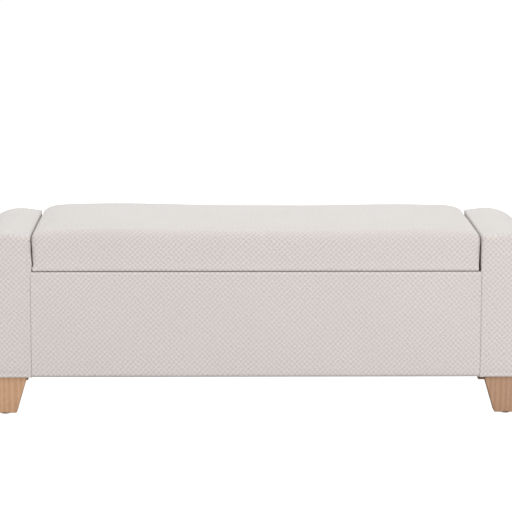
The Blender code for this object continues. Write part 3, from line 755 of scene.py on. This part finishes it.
# ---------------------------------------------------------------- hinge
# A rolled steel piano hinge runs along the back edge. Its lower leaf is screwed to the
# rim and its upper leaf to the underside of the lid.
repaint(["hinge_lower_leaf", "hinge_upper_leaf", "hinge_pin"], zinc_steel)


def screw_heads(shape, spots, radius, rise, up):
    """Adds low pan heads with a driver recess, standing along the axis up."""
    turn = Vector((0, 0, 1)).rotation_difference(Vector(up)).to_matrix().to_4x4()
    for spot in spots:
        head = bmesh.ops.create_cone(
            shape, cap_ends=True, segments=20, radius1=radius, radius2=radius * 0.72, depth=rise,
            matrix=Matrix.Translation(spot) @ turn)["verts"]
        crown = max({face for vert in head for face in vert.link_faces if len(face.verts) > 4},
                    key=lambda face: face.calc_center_median().dot(Vector(up)))
        bmesh.ops.inset_region(shape, faces=[crown], thickness=radius * 0.36)
        bmesh.ops.translate(shape, verts=crown.verts, vec=-Vector(up) * rise * 0.6)


HINGE_SCREW_Y, SCREW_RADIUS, SCREW_RISE = 0.1985, 0.0032, 0.0006
LOWER_SCREW_Z, UPPER_SCREW_Z = 0.3586, 0.3594
SCREW_X = [0.46 * (2 * number / 12 - 1) for number in range(13)]
shape = bmesh.new()
screw_heads(shape, [(x, HINGE_SCREW_Y, LOWER_SCREW_Z) for x in SCREW_X], SCREW_RADIUS, SCREW_RISE,
            (0, 0, 1))
piece("hinge_lower_screws", shape, zinc_steel, "base")
shape = bmesh.new()
screw_heads(shape, [(x, HINGE_SCREW_Y, UPPER_SCREW_Z) for x in SCREW_X], SCREW_RADIUS, SCREW_RISE,
            (0, 0, -1))
piece("hinge_upper_screws", shape, zinc_steel, "lid")


# ---------------------------------------------------------------- lid cushion
# A plywood board under foam and wadding, wrapped in the cream cloth, stapled below.
# The top is softly crowned, its long edges are rounded, and there is no piping.
LID_HALF, LID_FRONT, LID_BACK, LID_LOW, LID_TOP = 0.5422, -0.2130, 0.2060, 0.3612, 0.4535
shape = block((-LID_HALF, LID_FRONT, LID_LOW), (LID_HALF, LID_BACK, LID_TOP))
upright = [edge for edge in shape.edges if abs(edge.verts[0].co.z - edge.verts[1].co.z) > 0.05]
round_over(shape, upright, 0.006, 3)
upper = [edge for edge in shape.edges if min(vert.co.z for vert in edge.verts) > LID_TOP - 1e-5]
along = [edge for edge in upper if abs(edge.verts[0].co.x - edge.verts[1].co.x) > 0.5]
round_over(shape, along, 0.016, 4)
upper = [edge for edge in creases(shape, 40.0) if min(vert.co.z for vert in edge.verts) > LID_TOP - 0.017
         and max(abs(vert.co.x) for vert in edge.verts) > LID_HALF - 0.007]
round_over(shape, upper, 0.005, 2)
shape = swollen(shape, "lid", 0.0070, 4.0, 0.0048, lambda spot: spot.z < LID_LOW + 0.004)
shape = finer(shape, "lid")


def lid_path(spot, facing):
    """Cloth laid up the front, over the top and down the back; the ends laid over from the top."""
    if abs(facing.x) > 0.75:
        over = math.copysign(1.0, spot.x) * (LID_TOP - spot.z)
        return over + spot.x, spot.y + LID_TOP - LID_FRONT
    return spot.x, spot.z + spot.y - LID_FRONT


BOARD_EASE, BOARD_INSET = 0.014, 0.0015
low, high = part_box("lid_board")
inset = Vector((BOARD_INSET, BOARD_INSET, 0.0))
board = block(low + inset, high - inset)
round_over(board, [edge for edge in board.edges
                         if abs(edge.verts[0].co.z - edge.verts[1].co.z) > 0.01], BOARD_EASE, 4)
piece("lid_plywood", board, plywood, "lid", ["lid_board"])

LIP_DROP = 0.0020
CROWN = ((-0.5422, 0.0100), (-0.36, 0.0118), (-0.05, 0.0066), (0.12, 0.0060), (0.36, 0.0088),
         (0.5422, 0.0076))
END_FALL, END_SPREAD = (0.010, 0.0175), 0.026
FRONT_FALL, FRONT_SPREAD = 0.0045, 0.045
TUCK = {-1: 0.0042, 1: 0.0028}
END_GAP = {-1: -0.0039, 1: -0.0030}


def crown_at(x):
    """How far the filling stands above the flat at one place along the lid."""
    for (x0, z0), (x1, z1) in zip(CROWN, CROWN[1:]):
        if x <= x1:
            part = min(1.0, max(0.0, (x - x0) / (x1 - x0)))
            return z0 + (z1 - z0) * part * part * (3 - 2 * part)
    return CROWN[-1][1]


for vert in shape.verts:
    x, y, z = vert.co
    sign = math.copysign(1.0, x)
    z = max(z, LID_LOW)
    y, z = squared(y, z, LID_FRONT - 0.0022, LID_LOW, 0.011, 0.9)
    far, z = squared(-abs(x), z, -LID_HALF - 0.001, LID_LOW, 0.010, 0.9 if x < 0 or y > 0 else 0.0)
    x = -sign * far
    up = (z - LID_LOW) / (LID_TOP - LID_LOW)
    depth = (y - LID_FRONT) / (LID_BACK - LID_FRONT)
    in_from_end = max(0.0, LID_HALF - abs(x))
    fall = END_FALL[0] + (END_FALL[1] - END_FALL[0]) * min(1.0, max(0.0, depth))
    z += up * (crown_at(x) - fall * math.exp(-in_from_end / END_SPREAD)
               - FRONT_FALL * math.exp((LID_FRONT - y) / FRONT_SPREAD))
    pull = max(0.0, 1.0 - in_from_end / 0.06)
    x -= sign * pull * (END_GAP[int(sign)] + TUCK[int(sign)] * max(0.0, 1.0 - up) ** 1.5)
    if y < -0.2085 and up < 0.2:
        z -= LIP_DROP * (1.0 - up / 0.2)
    vert.co = (x, y, z)
lay_cloth(shape, lid_path)
lid_cover = piece("lid_upholstery", shape, cream_cloth, "lid", ["lid_cushion"],
                  crisp=180.0)


# ---------------------------------------------------------------- lid underside
# Black lining cloth hides the board and the turned-in cream cloth, stapled along its
# edge. Two rubber bumpers keep the closed lid off the front rim.
LID_LINING_LOW, LID_LINING_HIGH = (-0.5215, -0.1940, 0.3606), (0.5215, 0.1815, 0.3613)
shape = block(LID_LINING_LOW, LID_LINING_HIGH)
slice_evenly(shape, 0, 0.03)
slice_evenly(shape, 1, 0.03)
lay_cloth(shape)
lid_lining = piece("lid_lining_cloth", shape, lining_cloth, "lid", ["lid_lining"])
shape = bmesh.new()
for y in (LID_LINING_LOW[1] + STAPLE_IN, LID_LINING_HIGH[1] - STAPLE_IN):
    staple_row(shape, (-0.50, y, LID_LINING_LOW[2]), (0.50, y, LID_LINING_LOW[2]), 0.05, (1, 0, 0))
for x in (LID_LINING_LOW[0] + STAPLE_IN, LID_LINING_HIGH[0] - STAPLE_IN):
    staple_row(shape, (x, -0.16, LID_LINING_LOW[2]), (x, 0.02, LID_LINING_LOW[2]), 0.045, (0, 1, 0))
piece("lid_lining_staples", shape, zinc_steel, "lid")
repaint(["left_lid_bumper", "right_lid_bumper"], black_rubber)


# ---------------------------------------------------------------- lid stays
# A soft-close stay at each end holds the lid open: a screwed bracket with a black
# damper, two flat steel arms joined at an elbow, and a bracket under the lid.
for side, _ in ENDS:
    repaint([f"{side}_stay_{part}" for part in ("base_bracket", "lower_arm", "upper_arm",
                                                "lid_bracket")], zinc_steel)
    repaint([f"{side}_stay_damper"], black_plastic)
